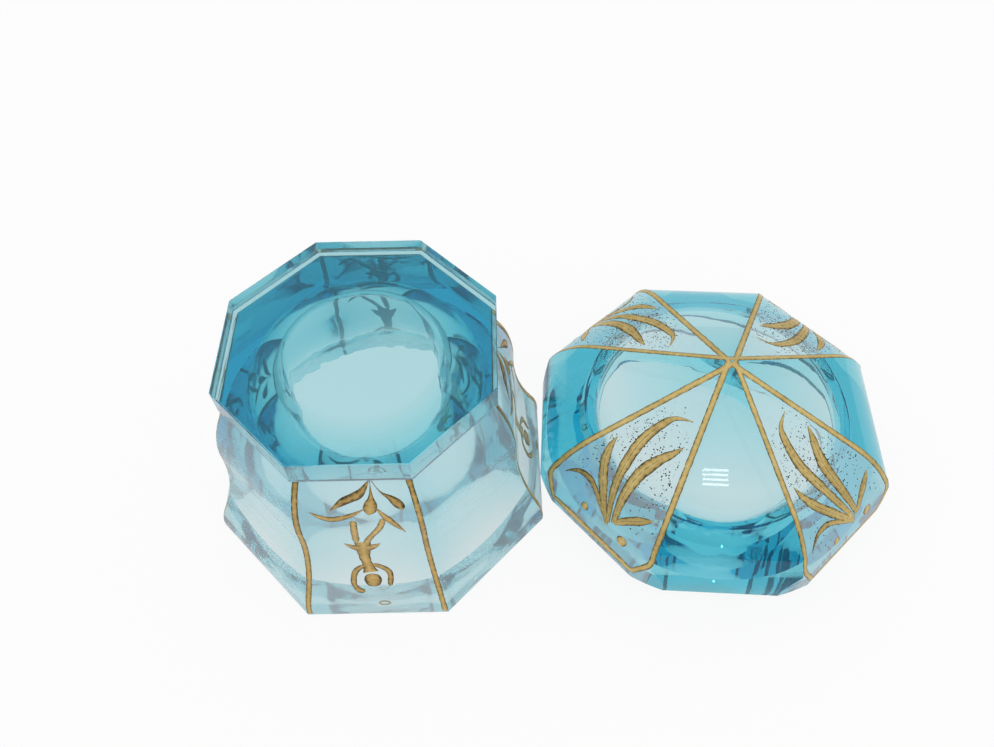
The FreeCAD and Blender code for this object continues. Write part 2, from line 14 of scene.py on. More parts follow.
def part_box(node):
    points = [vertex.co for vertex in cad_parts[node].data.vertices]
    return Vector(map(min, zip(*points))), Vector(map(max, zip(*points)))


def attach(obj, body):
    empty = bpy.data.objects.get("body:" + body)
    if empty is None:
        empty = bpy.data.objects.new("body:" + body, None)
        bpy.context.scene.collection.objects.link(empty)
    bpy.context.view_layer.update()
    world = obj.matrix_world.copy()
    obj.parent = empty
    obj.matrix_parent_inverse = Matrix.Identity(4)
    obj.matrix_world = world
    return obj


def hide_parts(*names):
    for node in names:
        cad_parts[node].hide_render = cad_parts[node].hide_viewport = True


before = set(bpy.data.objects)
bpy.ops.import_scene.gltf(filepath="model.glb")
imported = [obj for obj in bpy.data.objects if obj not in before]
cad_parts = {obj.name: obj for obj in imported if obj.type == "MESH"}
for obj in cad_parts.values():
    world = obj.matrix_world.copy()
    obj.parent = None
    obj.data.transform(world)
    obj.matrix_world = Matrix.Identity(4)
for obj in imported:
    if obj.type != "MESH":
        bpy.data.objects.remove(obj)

LOG = logging.getLogger("bonbonniere")
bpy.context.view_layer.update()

MM = 0.001
PANEL_COUNT = 8
PANEL_TURN = math.tau / PANEL_COUNT
HALF_PANEL = PANEL_TURN / 2
MERGE_DISTANCE = 1e-7
SHARP_GLASS = 9.0
SHARP_GOLD = 50.0
SHARP_TABLE = 30.0

Point = tuple[float, float]
Place = tuple[float, float, float]
Colour = tuple[float, float, float]

BLACK: Colour = (0.0, 0.0, 0.0)
WHITE: Colour = (1.0, 1.0, 1.0)


class Body(Enum):
    """The two bodies that the pieces ride on."""

    BOX = "box"
    LID = "lid"


class Slot(Enum):
    """The record's material slots."""

    GLASS = "aqua_glass"
    GOLD = "gilding"


class Taper(Enum):
    """How the width of a brush stroke runs from its start to its end."""

    LEAF = "pointed at both ends"
    BLADE = "a narrow foot and a pointed tip"
    CLUB = "pointed at the start and widest near the tip"
    BAND = "even all along"
    LIMB = "even, with rounded ends"
    WAIST = "drawn in at the middle"
    ROUND = "a round dab"

    def share(self, along: float) -> float:
        """Gives the share of the full width at a place along the stroke.

        Args:
            along: Place along the stroke, from 0 to 1.

        Returns:
            Share of the full width, never quite nothing, so that tips stay closed.
        """
        shares = {
            Taper.LEAF: math.sin(math.pi * along),
            Taper.BLADE: math.sin(math.pi * (0.13 + 0.87 * along)),
            Taper.CLUB: math.sin(math.pi * along**2.2),
            Taper.BAND: 1.0,
            Taper.LIMB: math.sqrt(1 - (2 * along - 1) ** 8),
            Taper.WAIST: 1 - 0.34 * math.sin(math.pi * along),
            Taper.ROUND: math.sqrt(max(0.0, 1 - (2 * along - 1) ** 2)),
        }
        return max(self.least_share(), shares[self])

    @staticmethod
    def least_share() -> float:
        """Share of the width that is left at a pointed tip."""
        return 0.06


def arc(centre: Point, radius: float, start: float, end: float, steps: int) -> list[Point]:
    """Points along a round stretch of a profile.

    Args:
        centre: Centre of the arc, as way out and level in millimetres.
        radius: Radius in millimetres.
        start: Angle of the first point, in radians.
        end: Angle of the last point, in radians.
        steps: Number of straight steps that stand for the arc.

    Returns:
        The points, with both ends.
    """
    angles = [start + (end - start) * step / steps for step in range(steps + 1)]
    return [(centre[0] + radius * math.cos(angle), centre[1] + radius * math.sin(angle)) for angle in angles]


def smooth_line(points: Sequence[Point], share: float) -> Point:
    """A place on the smooth line through some points.

    Args:
        points: Two or more points that the line runs through.
        share: Place along the line, from 0 to 1.

    Returns:
        The point at that place.
    """
    spans = len(points) - 1
    span = min(int(share * spans), spans - 1)
    step = share * spans - span
    before, first = points[max(span - 1, 0)], points[span]
    second, after = points[span + 1], points[min(span + 2, spans)]
    place = []
    for p0, p1, p2, p3 in zip(before, first, second, after):
        bend = 2 * p0 - 5 * p1 + 4 * p2 - p3
        twist = 3 * p1 - p0 - 3 * p2 + p3
        place.append(0.5 * (2 * p1 + (p2 - p0) * step + bend * step**2 + twist * step**3))
    return place[0], place[1]


def turned(
    mesh: bmesh.types.BMesh,
    profile: Sequence[Point],
    steps: int,
    start: float = 0.0,
    stretch: float = 1.0,
) -> list[bmesh.types.BMVert]:
    """Spins a profile about the upright axis.

    Args:
        mesh: The mesh that takes the new faces.
        profile: Points as way out and level, in millimetres.
        steps: Number of steps round the axis.
        start: Turn of the profile's own plane, in radians.
        stretch: Factor on the way out, which makes a flat-sided form keep its size across flats.

    Returns:
        The new vertices.
    """
    before = set(mesh.verts)
    way_x, way_y = stretch * math.cos(start), stretch * math.sin(start)
    verts = [mesh.verts.new(Vector((out * way_x, out * way_y, level)) * MM) for out, level in profile]
    edges = [mesh.edges.new(pair) for pair in zip(verts, verts[1:])]
    bmesh.ops.spin(
        mesh,
        geom=verts + edges,
        axis=(0, 0, 1),
        cent=(0, 0, 0),
        angle=math.tau,
        steps=steps,
        use_merge=True,
    )
    fresh = [vert for vert in mesh.verts if vert not in before]
    bmesh.ops.remove_doubles(mesh, verts=fresh, dist=MERGE_DISTANCE)
    return [vert for vert in mesh.verts if vert not in before]


def open_edges(mesh: bmesh.types.BMesh) -> list[bmesh.types.BMEdge]:
    """The edges round the holes of a mesh."""
    return [edge for edge in mesh.edges if edge.is_boundary]


def close_underside(mesh: bmesh.types.BMesh) -> None:
    """Fills the ring between the outside and the inside of a piece of glass."""
    bmesh.ops.triangle_fill(
        mesh,
        use_beauty=True,
        use_dissolve=False,
        edges=open_edges(mesh),
        normal=(0, 0, -1),
    )


def faces_straight(face: bmesh.types.BMFace) -> bool:
    """Whether a face lies on a panel that looks along an axis of its piece, and not on a diagonal one."""
    middle = face.calc_center_median()
    return math.cos(PANEL_COUNT / 2 * math.atan2(middle.y, middle.x)) > 0


def every_second_turn(first: int) -> list[Matrix]:
    """Turns about the upright axis to every second panel, from the given one on."""
    return [Matrix.Rotation(number * PANEL_TURN, 4, "Z") for number in range(first, PANEL_COUNT, 2)]


def make_piece(mesh: bmesh.types.BMesh, name: str, sharp: float) -> bpy.types.Object:
    """Turns a finished bmesh into an object at the origin.

    Args:
        mesh: The mesh in metres, in the frame of the part. It is freed.
        name: Name of the new piece.
        sharp: Angle in degrees over which an edge is shaded as an edge.

    Returns:
        The new object.
    """
    bmesh.ops.recalc_face_normals(mesh, faces=mesh.faces)
    for helper in mesh.verts.layers.float_vector.values():
        mesh.verts.layers.float_vector.remove(helper)
    data = bpy.data.meshes.new(name)
    mesh.to_mesh(data)
    mesh.free()
    data.shade_smooth()
    data.set_sharp_from_angle(angle=math.radians(sharp))
    piece = bpy.data.objects.new(name, data)
    bpy.context.scene.collection.objects.link(piece)
    return piece


def settle(piece: bpy.types.Object, body: Body, slot: Slot, *nodes: str) -> None:
    """Sets a piece on its body, in place of the plain solids that it stands for.

    Args:
        piece: The new piece.
        body: The body that it moves with.
        slot: The record's material slot; not used.
        nodes: Names of the solids that it replaces.
    """
    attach(piece, body.value)
    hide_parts(*nodes)
    LOG.info("%s: %d faces on %s, for %s", piece.name, len(piece.data.polygons), body.value, ", ".join(nodes))


class NodeBench:
    """A material's node tree with short calls for adding and joining nodes."""

    def __init__(self, tree: bpy.types.NodeTree) -> None:
        """Keeps the tree to work on."""
        self.tree = tree

    def add(self, kind: str, **settings: object) -> bpy.types.Node:
        """Adds a node.

        Args:
            kind: The node's type, without the word ShaderNode.
            settings: Attributes of the node to set.

        Returns:
            The new node.
        """
        node = self.tree.nodes.new(f"ShaderNode{kind}")
        for name, value in settings.items():
            setattr(node, name, value)
        return node

    def feed(self, node: bpy.types.Node, **values: object) -> bpy.types.Node:
        """Sets or joins the inputs of a node, where a name's underscores stand for spaces.

        Args:
            node: The node that takes the inputs.
            values: A number, a colour or another node's output for each input.

        Returns:
            The same node.
        """
        for name, value in values.items():
            self.put(node.inputs[name.replace("_", " ")], value)
        return node

    def put(self, socket: bpy.types.NodeSocket, value: object) -> None:
        """Joins an output to a socket, or writes a plain value on it."""
        if isinstance(value, bpy.types.NodeSocket):
            self.tree.links.new(value, socket)
        elif isinstance(value, tuple) and len(value) == 3 and socket.type == "RGBA":
            socket.default_value = (*value, 1.0)
        else:
            socket.default_value = value

    def maths(self, operation: str, first: object, second: object) -> bpy.types.NodeSocket:
        """The output of one sum of two values.

        Args:
            operation: Name of the sum, as the Math node gives it.
            first: A number or an output.
            second: A number or an output.

        Returns:
            The sum's output.
        """
        node = self.add("Math", operation=operation)
        self.put(node.inputs[0], first)
        self.put(node.inputs[1], second)
        return node.outputs[0]

    def ramp(self, factor: object, stops: Sequence[tuple[float, Colour]]) -> bpy.types.NodeSocket:
        """A row of colours picked by a factor.

        Args:
            factor: The output that picks the colour.
            stops: Places from 0 to 1 with their colours, two or more.

        Returns:
            The colour's output.
        """
        node = self.add("ValToRGB")
        elements = node.color_ramp.elements
        for number, (place, colour) in enumerate(stops):
            element = elements[number] if number < 2 else elements.new(place)
            element.position = place
            element.color = (*colour, 1.0)
        self.put(node.inputs["Fac"], factor)
        return node.outputs["Color"]

    def noise(self, scale: float, detail: float, place: object) -> bpy.types.NodeSocket:
        """A soft noise from 0 to 1.

        Args:
            scale: Number of waves in a metre.
            detail: Number of finer layers.
            place: Output with the coordinates.

        Returns:
            The noise's output.
        """
        node = self.add("TexNoise")
        self.feed(node, Scale=scale, Detail=detail, Vector=place)
        return node.outputs["Fac"]

    def mark(self, name: str) -> bpy.types.NodeSocket:
        """The output of an attribute that the mesh carries."""
        return self.add("Attribute", attribute_name=name).outputs["Fac"]

    def fade(self, value: object, span: Point, low: float, high: float) -> bpy.types.NodeSocket:
        """A smooth rise from one value to another.

        Args:
            value: The output that drives the rise.
            span: Where the rise begins and where it ends.
            low: Value before the rise.
            high: Value after it.

        Returns:
            The risen value's output.
        """
        node = self.add("MapRange", interpolation_type="SMOOTHSTEP")
        self.feed(node, Value=value, From_Min=span[0], From_Max=span[1], To_Min=low, To_Max=high)
        return node.outputs["Result"]

    def mix_colours(self, share: object, first: object, second: object) -> bpy.types.NodeSocket:
        """The output of two colours mixed, where the share is that of the second."""
        node = self.feed(self.add("Mix", data_type="RGBA"), Factor=share, A=first, B=second)
        return node.outputs["Result"]

    def mix_shaders(self, share: object, first: object, second: object) -> bpy.types.NodeSocket:
        """The output of two shaders mixed, where the share is that of the second."""
        node = self.add("MixShader")
        for socket, value in zip(node.inputs, (share, first, second)):
            self.put(socket, value)
        return node.outputs["Shader"]


@dataclass(frozen=True)
class AquaGlass:
    """Clear aqua glass, polished outside, left as moulded inside, with a pale bloom on its panels."""

    absorption: float = 70.0
    tint: Colour = (0.0, 0.815, 0.912)
    bend: float = 1.5
    moulded_roughness: float = 0.04
    ripple_scale: float = 90.0
    ripple_detail: float = 2.0
    ripple_height: float = 0.25 * MM
    bloom_share: float = 0.36
    bloom_through: float = 0.15
    bloom_colour: Colour = (0.99, 0.99, 0.99)

    def material(self) -> bpy.types.Material:
        """Makes the material.

        Returns:
            A glass that takes light away along its depth, with ripples and bloom where the mesh is so marked.
        """
        material = bpy.data.materials.new("aqua_glass")
        material.use_nodes = True
        bench = NodeBench(material.node_tree)
        shader = material.node_tree.nodes["Principled BSDF"]
        output = material.node_tree.nodes["Material Output"]
        place = bench.add("TexCoord").outputs["Object"]
        moulded = bench.mark("moulded")
        ripple = bench.feed(
            bench.add("Bump"),
            Height=bench.noise(self.ripple_scale, self.ripple_detail, place),
            Strength=moulded,
            Distance=self.ripple_height,
        )
        bench.feed(
            shader,
            Base_Color=WHITE,
            Transmission_Weight=1.0,
            IOR=self.bend,
            Roughness=bench.maths("MULTIPLY", moulded, self.moulded_roughness),
            Normal=ripple.outputs["Normal"],
        )
        near = bench.feed(bench.add("BsdfDiffuse"), Color=self.bloom_colour)
        far = bench.feed(bench.add("BsdfTranslucent"), Color=self.bloom_colour)
        veil = bench.mix_shaders(self.bloom_through, near.outputs["BSDF"], far.outputs["BSDF"])
        share = bench.maths("MULTIPLY", bench.mark("bloom"), self.bloom_share)
        bench.put(output.inputs["Surface"], bench.mix_shaders(share, shader.outputs["BSDF"], veil))
        depth = bench.feed(bench.add("VolumeAbsorption"), Color=self.tint, Density=self.absorption)
        bench.put(output.inputs["Volume"], depth.outputs["Volume"])
        return material


@dataclass(frozen=True)
class WornGold:
    """Fired gold on a pale ground, rubbed thin, with a darker outline where the brush left its edge."""

    name: str
    light: Colour
    middle: Colour
    dark: Colour
    outline: Colour
    metal_share: float = 0.55
    roughness: float = 0.36
    roughness_swing: float = 0.35
    grain_scale: float = 900.0
    grain_detail: float = 4.0
    grain_height: float = 0.03 * MM
    grain_strength: float = 0.6
    patch_scale: float = 160.0
    patch_detail: float = 3.0
    speckle_share: float = 0.6
    brim_share: float = 0.55
    patch_share: float = 0.6
    shade_places: tuple[float, float, float] = (0.2, 0.62, 0.95)
    outline_places: Point = (0.74, 0.98)
    ground: Colour = (0.8, 0.82, 0.8)
    ground_mark: float = -0.3

    def material(self) -> bpy.types.Material:
        """Makes the material.

        Returns:
            A metal that is light in the middle of a stroke and dark at its edge, on a pale ground.
        """
        material = bpy.data.materials.new(self.name)
        material.use_nodes = True
        bench = NodeBench(material.node_tree)
        shader = material.node_tree.nodes["Principled BSDF"]
        place = bench.add("TexCoord").outputs["Object"]
        brim, vein = bench.mark("brim"), bench.mark("vein")
        patches = bench.noise(self.patch_scale, self.patch_detail, place)
        grain = bench.noise(self.grain_scale, self.grain_detail, place)
        speckle = bench.maths("MULTIPLY", bench.maths("SUBTRACT", grain, 0.5), self.speckle_share)
        by_edge = bench.maths("MULTIPLY", brim, self.brim_share)
        by_patch = bench.maths("MULTIPLY", patches, self.patch_share)
        rubbed = bench.maths("ADD", bench.maths("ADD", by_edge, by_patch), speckle)
        gold = bench.ramp(rubbed, list(zip(self.shade_places, (self.light, self.middle, self.dark))))
        drawn = bench.maths("ADD", bench.maths("MAXIMUM", brim, vein), speckle)
        inked = bench.ramp(drawn, list(zip(self.outline_places, (BLACK, WHITE))))
        below = bench.maths("LESS_THAN", brim, self.ground_mark)
        colour = bench.mix_colours(below, bench.mix_colours(inked, gold, self.outline), self.ground)
        metal = bench.maths("MULTIPLY", bench.maths("SUBTRACT", 1.0, below), self.metal_share)
        swing = bench.maths("MULTIPLY", speckle, self.roughness_swing)
        bump = bench.feed(
            bench.add("Bump"),
            Height=grain,
            Strength=self.grain_strength,
            Distance=self.grain_height,
        )
        bench.feed(
            shader,
            Base_Color=colour,
            Metallic=metal,
            Roughness=bench.maths("ADD", self.roughness, swing),
            Normal=bump.outputs["Normal"],
        )
        return material


@dataclass(frozen=True)
class BoxGlass:
    """The thick box, turned over: eight ground walls round a moulded cavity. Sizes in millimetres."""

    mouth_half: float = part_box("box_glass")[1].x / MM
    height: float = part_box("box_glass")[1].z / MM
    waist_inset: float = 8.5
    plinth_inset: float = 4.8
    ledge: float = 1.5
    plinth_height: float = 8.2
    belly_rise: float = 21.8
    lip_radius: float = 20.0
    rim_width: float = 4.2
    bore_depth: float = 3.0
    seat_radius: float = 44.6
    seat_depth: float = 10.6
    waist_wall: float = 8.3
    floor_wall: float = 17.3
    floor_thickness: float = 7.5
    floor_round: float = 5.0
    ground_edge: float = 0.22
    lip_steps: int = 12
    wall_steps: int = 20
    cavity_steps: int = 128
    hollow_steps: int = 24
    corner_steps: int = 10
    floor_rings: int = 4
    gilded_bloom: float = 1.0
    plain_bloom: float = 0.7
    plinth_bloom: float = 0.5
    wave_height: float = 0.12
    wave_length: float = 16.0

    @property
    def waist_half(self) -> float:
        """Half the box's width at its waist."""
        return self.mouth_half - self.waist_inset

    @property
    def foot_half(self) -> float:
        """Half the plinth's width."""
        return self.waist_half - self.plinth_inset

    @property
    def plinth_level(self) -> float:
        """Level of the ledge under the plinth."""
        return self.height - self.plinth_height

    @property
    def waist_level(self) -> float:
        """Level of the waist."""
        return self.plinth_level - self.belly_rise

    @property
    def sweep(self) -> float:
        """Turn of the lip's roll, which the flare turns back again."""
        return 2 * math.atan2(self.waist_inset, self.waist_level)

    @property
    def flare_radius(self) -> float:
        """Radius of the hollow flare between lip and waist."""
        return self.waist_level / math.sin(self.sweep) - self.lip_radius

    @property
    def belly_radius(self) -> float:
        """Radius of the belly between waist and plinth."""
        run = self.plinth_inset + self.ledge
        return (run**2 + self.belly_rise**2) / (2 * run)

    def half_width(self, level: float) -> float:
        """Half the width of the box between two facing walls.

        Args:
            level: Level above the mouth rim.

        Returns:
            The way from the axis to a wall.
        """
        if level <= self.lip_radius * math.sin(self.sweep):
            return self.mouth_half - self.lip_radius + math.sqrt(self.lip_radius**2 - level**2)
        if level <= self.waist_level:
            sunk = math.sqrt(self.flare_radius**2 - (self.waist_level - level) ** 2)
            return self.waist_half + self.flare_radius - sunk
        bulge = math.sqrt(self.belly_radius**2 - (level - self.waist_level) ** 2)
        return self.waist_half - self.belly_radius + bulge

    def wall_profile(self) -> list[Point]:
        """The outside of one wall, from the mouth rim to the middle of the foot."""
        lip = arc((self.mouth_half - self.lip_radius, 0), self.lip_radius, 0, self.sweep, self.lip_steps)
        flare_centre = (self.waist_half + self.flare_radius, self.waist_level)
        flare = arc(flare_centre, self.flare_radius, math.pi + self.sweep, math.pi, self.wall_steps)
        belly_centre = (self.waist_half - self.belly_radius, self.waist_level)
        belly_turn = math.asin(self.belly_rise / self.belly_radius)
        belly = arc(belly_centre, self.belly_radius, 0, belly_turn, self.wall_steps)
        plinth = [(self.foot_half, self.plinth_level), (self.foot_half, self.height), (0, self.height)]
        return lip + flare[1:] + belly[1:] + plinth

    def cavity_profile(self) -> list[Point]:
        """The inside of the box, from the mouth rim to the middle of the cavity's floor."""
        bore, waist = self.mouth_half - self.rim_width, self.waist_half - self.waist_wall
        floor, floor_level = self.foot_half - self.floor_wall, self.height - self.floor_thickness
        fall = self.waist_level - self.seat_depth
        flare = ((self.seat_radius - waist) ** 2 + fall**2) / (2 * (self.seat_radius - waist))
        flare_start = math.pi + math.asin(fall / flare)
        flare_arc = arc((waist + flare, self.waist_level), flare, flare_start, math.pi, self.hollow_steps)
        run, rise = waist - floor, floor_level - self.floor_round - self.waist_level
        bowl = (run**2 + rise**2 - self.floor_round**2) / (2 * (run - self.floor_round))
        touch = math.atan2(rise, floor - waist + bowl)
        bowl_arc = arc((waist - bowl, self.waist_level), bowl, 0, touch, self.hollow_steps)
        corner = (floor, floor_level - self.floor_round)
        corner_arc = arc(corner, self.floor_round, touch, math.pi / 2, self.corner_steps)
        rings = range(1, self.floor_rings + 1)
        floor_rings = [(floor * (1 - ring / self.floor_rings), floor_level) for ring in rings]
        return [(bore, 0), (bore, self.bore_depth)] + flare_arc + bowl_arc[1:] + corner_arc[1:] + floor_rings

    def build(self) -> bpy.types.Object:
        """Builds the glass.

        Returns:
            One closed piece: ground walls outside, rim, and the moulded cavity.
        """
        mesh = bmesh.new()
        moulded = mesh.verts.layers.float.new("moulded")
        bloom = mesh.faces.layers.float.new("bloom")
        turned(mesh, self.wall_profile(), PANEL_COUNT, HALF_PANEL, 1 / math.cos(HALF_PANEL))
        inner = [edge for edge in mesh.edges if not edge.is_boundary]
        ground = [edge for edge in inner if edge.calc_face_angle(0) > HALF_PANEL]
        bmesh.ops.bevel(
            mesh,
            geom=ground,
            offset=self.ground_edge * MM,
            offset_type="OFFSET",
            segments=2,
            profile=0.5,
            affect="EDGES",
            clamp_overlap=True,
            material=-1,
        )
        for face in mesh.faces:
            level = face.calc_center_median().z / MM
            if level < self.plinth_level:
                face[bloom] = self.gilded_bloom if faces_straight(face) else self.plain_bloom
            elif level < self.height - self.ground_edge:
                face[bloom] = self.plinth_bloom
        for vert in turned(mesh, self.cavity_profile(), self.cavity_steps):
            vert[moulded] = 1.0
            self.ripple(vert)
        close_underside(mesh)
        return make_piece(mesh, "box_of_aqua_glass", SHARP_GLASS)

    def ripple(self, vert: bmesh.types.BMVert) -> None:
        """Moves a vertex of the cavity a little, as moulded glass is never quite true."""
        if vert.co.z > self.bore_depth * MM:
            wave = noise.noise(vert.co / (self.wave_length * MM)) * self.wave_height * MM
            vert.co += Vector((vert.co.x, vert.co.y, self.height * MM)).normalized() * wave


@dataclass(frozen=True)
class LidGlass:
    """The lid: eight facets ground on a round blank, hollow below, with a flange. Sizes in millimetres."""

    centre: Point = (102.6, 2.4)
    turn: float = math.radians(-4.1)
    half: float = 52.1
    corner_radius: float = 54.6
    rim_level: float = 10.0
    wall_height: float = 1.0
    shoulder_radius: float = 25.2
    slope: float = math.radians(25)
    flange_radius: float = 44.0
    hollow_radius: float = 39.7
    hollow_draft: float = math.radians(5)
    ceiling_slope: float = math.radians(10.8)
    cove_radius: float = 10.0
    crown: float = 13.8
    round_steps: int = 128
    shoulder_steps: int = 18
    cove_steps: int = 18
    ceiling_rings: int = 5
    gilded_bloom: float = 0.8
    wave_height: float = 0.1
    wave_length: float = 18.0

    @property
    def place(self) -> Matrix:
        """Where the lid stands, and how it is turned."""
        spot = Vector((*self.centre, 0)) * MM
        return Matrix.Translation(spot) @ Matrix.Rotation(self.turn, 4, "Z")

    @property
    def wall_top(self) -> float:
        """Level where the upright wall ends and the shoulder begins."""
        return self.rim_level + self.wall_height

    @property
    def shoulder_centre(self) -> Point:
        """Centre of the shoulder's round, as way out and level."""
        return self.half - self.shoulder_radius, self.wall_top

    @property
    def apex(self) -> float:
        """Level of the point where the facets meet."""
        rise = (self.half - self.shoulder_radius) * math.tan(self.slope)
        return self.wall_top + rise + self.shoulder_radius / math.cos(self.slope)

    @property
    def facet_length(self) -> float:
        """Length of a flat facet from the apex down its middle."""
        return self.shoulder_centre[0] / math.cos(self.slope) + self.shoulder_radius * math.tan(self.slope)

    def on_panel(self, down: float) -> tuple[Point, Point]:
        """A place down the middle of a panel.

        Args:
            down: Way down the panel's surface from the apex.

        Returns:
            The place and the outward direction there, each as way out and level.
        """
        lean = math.pi / 2 - self.slope
        if down <= self.facet_length:
            place = (down * math.cos(self.slope), self.apex - down * math.sin(self.slope))
            return place, (math.cos(lean), math.sin(lean))
        angle = max(lean - (down - self.facet_length) / self.shoulder_radius, 0)
        out, level = self.shoulder_centre
        outward = (math.cos(angle), math.sin(angle))
        drop = max(0, down - self.facet_length - lean * self.shoulder_radius)
        place = (out + self.shoulder_radius * outward[0], level + self.shoulder_radius * outward[1] - drop)
        return place, outward

    def way_down(self, out: float) -> float:
        """The way down a panel to a place that lies some way out from the axis.

        Args:
            out: Way out from the axis.

        Returns:
            Way down the panel's surface from the apex.
        """
        if out <= self.facet_length * math.cos(self.slope):
            return out / math.cos(self.slope)
        angle = math.acos(min(1.0, (out - self.shoulder_centre[0]) / self.shoulder_radius))
        return self.facet_length + (math.pi / 2 - self.slope - angle) * self.shoulder_radius

    def panel_half_width(self, down: float) -> float:
        """Half the width of a panel, up to its rib or to the lid's round corner.

        Args:
            down: Way down the panel's surface from the apex.

        Returns:
            Way across from the panel's middle to its edge.
        """
        out = self.on_panel(down)[0][0]
        return min(out * math.tan(HALF_PANEL), math.sqrt(max(0.0, self.corner_radius**2 - out**2)))

    def hollow_profile(self) -> list[Point]:
        """The underside of the lid: flange, leaning wall, cove and a low conical ceiling."""
        ceiling = self.apex - self.crown
        reach = self.hollow_radius - self.cove_radius / math.cos(self.hollow_draft)
        draft, rise = math.tan(self.hollow_draft), math.tan(self.ceiling_slope)
        under = ceiling - self.cove_radius / math.cos(self.ceiling_slope) - reach * rise
        spring = under / (1 - draft * rise)
        centre = (reach - spring * draft, spring)
        cove_end = math.pi / 2 - self.ceiling_slope
        cove = arc(centre, self.cove_radius, self.hollow_draft, cove_end, self.cove_steps)
        out, level = cove[-1]
        shares = [ring / self.ceiling_rings for ring in range(1, self.ceiling_rings + 1)]
        rings = [(out * (1 - share), level + (ceiling - level) * share) for share in shares]
        flange = [(self.flange_radius, self.rim_level), (self.flange_radius, 0), (self.hollow_radius, 0)]
        return flange + cove + rings

    def build(self) -> bpy.types.Object:
        """Builds the glass.

        Returns:
            One closed piece: facets and shoulders outside, rim, flange and hollow.
        """
        mesh = bmesh.new()
        moulded = mesh.verts.layers.float.new("moulded")
        bloom = mesh.faces.layers.float.new("bloom")
        self.grind_blank(mesh)
        for face in mesh.faces:
            face[bloom] = 0.0 if faces_straight(face) else self.gilded_bloom
        for vert in turned(mesh, self.hollow_profile(), self.round_steps):
            if vert.co.z > self.wall_top * MM:
                vert[moulded] = 1.0
                vert.co.z += noise.noise(vert.co / (self.wave_length * MM)) * self.wave_height * MM
        close_underside(mesh)
        bmesh.ops.transform(mesh, matrix=self.place, verts=mesh.verts)
        return make_piece(mesh, "lid_of_aqua_glass", SHARP_GLASS)

    def grind_blank(self, mesh: bmesh.types.BMesh) -> None:
        """Cuts the eight facets and their shoulders from a round blank, and opens its underside.

        Args:
            mesh: The empty mesh that takes the blank.
        """
        rise = self.apex - self.rim_level
        out, level = self.shoulder_centre
        bmesh.ops.create_cone(
            mesh,
            cap_ends=True,
            segments=self.round_steps,
            radius1=self.corner_radius * MM,
            radius2=self.corner_radius * MM,
            depth=2 * rise * MM,
            matrix=Matrix.Translation((0, 0, (self.rim_level + rise) * MM)),
        )
        for panel in range(PANEL_COUNT):
            heading = Matrix.Rotation(panel * PANEL_TURN, 3, "Z")
            for step in range(self.shoulder_steps + 1):
                angle = (math.pi / 2 - self.slope) * step / self.shoulder_steps
                outward = Vector((math.cos(angle), 0, math.sin(angle)))
                touch = Vector((out, 0, level)) + outward * self.shoulder_radius
                bmesh.ops.bisect_plane(
                    mesh,
                    geom=mesh.verts[:] + mesh.edges[:] + mesh.faces[:],
                    plane_co=heading @ touch * MM,
                    plane_no=heading @ outward,
                    clear_outer=True,
                    dist=MERGE_DISTANCE,
                )
                bmesh.ops.edgeloop_fill(mesh, edges=open_edges(mesh))
        underside = [face for face in mesh.faces if face.normal.z < -0.9]
        bmesh.ops.delete(mesh, geom=underside, context="FACES_ONLY")


@dataclass(frozen=True)
class Stroke:
    """One brush stroke of gold: points of its centre line as way along and across a panel, and its width."""

    line: tuple[Point, ...]
    width: float
    taper: Taper = Taper.LEAF
    darkness: float = 0.0
    darkness_tip: float = 0.0
    vein: float = 0.0

    def darkness_at(self, share: float) -> float:
        """How dark the gold is at a place along the stroke, running evenly from its start to its tip."""
        return self.darkness + (self.darkness_tip - self.darkness) * share


@dataclass(frozen=True)
class Panel:
    """A gilded panel: where a place along and across it lies in the part's frame."""

    surface: Callable[[float], tuple[Point, Point]]
    half_width: Callable[[float], float]
    place: Matrix

    def spot(self, along: float, across: float, lift: float) -> Vector:
        """A point over the panel.

        Args:
            along: Way along the panel, in millimetres.
            across: Way across it from its middle, in millimetres.
            lift: Height over the glass, in millimetres.

        Returns:
            The point in metres, in the part's frame.
        """
        (out, level), (out_way, up_way) = self.surface(along)
        return self.place @ (Vector((out + lift * out_way, across, level + lift * up_way)) * MM)


